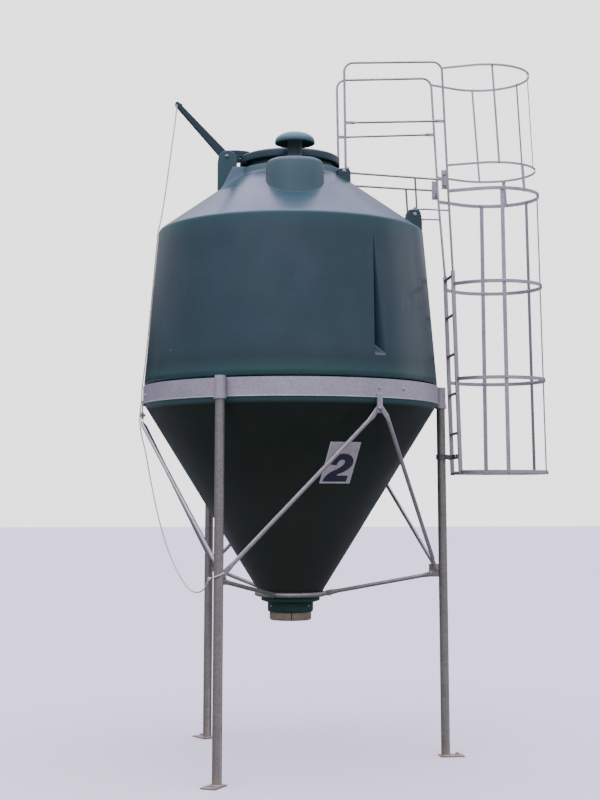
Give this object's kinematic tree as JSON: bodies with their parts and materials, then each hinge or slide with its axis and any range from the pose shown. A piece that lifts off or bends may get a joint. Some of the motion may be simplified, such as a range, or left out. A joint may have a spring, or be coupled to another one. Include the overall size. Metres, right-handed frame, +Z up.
{
  "type": "polyethylene silo",
  "caption": "Dark green polyethylene storage silo with a hopper bottom on a galvanised leg stand, with a caged ladder, handrails and a lid opened by a rope",
  "frame": {"origin": "on the floor, under the middle of the bounding box, the rope left out", "axes": "+Z up; +X from the tank's axis towards the ladder and its cage; -Y towards the vent and the front leg, the side that the picture sees"},
  "size_m": [2.7891, 2.048, 4.7045],
  "materials": {
    "tank_shell": "weathered satin gloss, dark slate green polyethylene",
    "hopper_shell": "satin, near-black green polyethylene",
    "galvanised": "dull hot-dip galvanised",
    "cage_steel": "dull weathered galvanised",
    "spout_steel": "dull galvanised, stained brown",
    "white_plate": "smooth white",
    "rope": "twisted fibre"
  },
  "bodies": {
    "silo": {"tank_wall": "tank_shell", "tank_roof": "tank_shell", "tank_hopper": "hopper_shell", "outlet_flange": "hopper_shell", "outlet_collar": "hopper_shell", "outlet_ring": "spout_steel", "roof_collar": "tank_shell", "hinge_lug": "tank_shell", "hinge_pin": "galvanised", "vent_turret": "tank_shell", "vent_cap": "tank_shell", "inner_lug_near": "tank_shell", "inner_lug_far": "tank_shell", "shoulder_lug_near": "tank_shell", "shoulder_lug_far": "tank_shell", "number_plate": "white_plate", "ring_band": "galvanised", "leg_a": "galvanised", "leg_b": "galvanised", "leg_c": "galvanised", "brace_ab_to_a": "galvanised", "brace_ab_to_b": "galvanised", "brace_bc_to_b": "galvanised", "brace_bc_to_c": "galvanised", "brace_ca_to_c": "galvanised", "brace_ca_to_a": "galvanised", "strut_a": "galvanised", "strut_b": "galvanised", "strut_c": "galvanised", "hopper_hoop": "galvanised", "ladder": "galvanised", "ladder_clamp": "galvanised", "cage_hoop_1": "cage_steel", "cage_hoop_2": "cage_steel", "cage_hoop_3": "cage_steel", "cage_hoop_4": "cage_steel", "cage_hoop_5": "cage_steel", "cage_hoop_6": "cage_steel", "cage_bar_lower_1": "cage_steel", "cage_bar_lower_2": "cage_steel", "cage_bar_lower_3": "cage_steel", "cage_bar_lower_4": "cage_steel", "cage_bar_upper_1": "cage_steel", "cage_bar_upper_2": "cage_steel", "cage_bar_upper_3": "cage_steel", "cage_bar_upper_4": "cage_steel", "cage_link_1": "cage_steel", "cage_link_2": "cage_steel", "handrail_near": "galvanised", "handrail_far": "galvanised", "roof_stay_near": "galvanised", "roof_stay_far": "galvanised", "rope_lift": "rope", "rope_run": "rope", "rope_hitch": "rope"},
    "lid": {"lid": "tank_shell", "lid_lever": "tank_shell"}
  },
  "joints": [
    {"name": "lid_hinge", "type": "hinge", "parent": "silo", "child": "lid", "pos_m": [-0.82835, 0, 4.025], "axis": [0, -1, 0], "range_deg": [0, 88]}
  ]
}
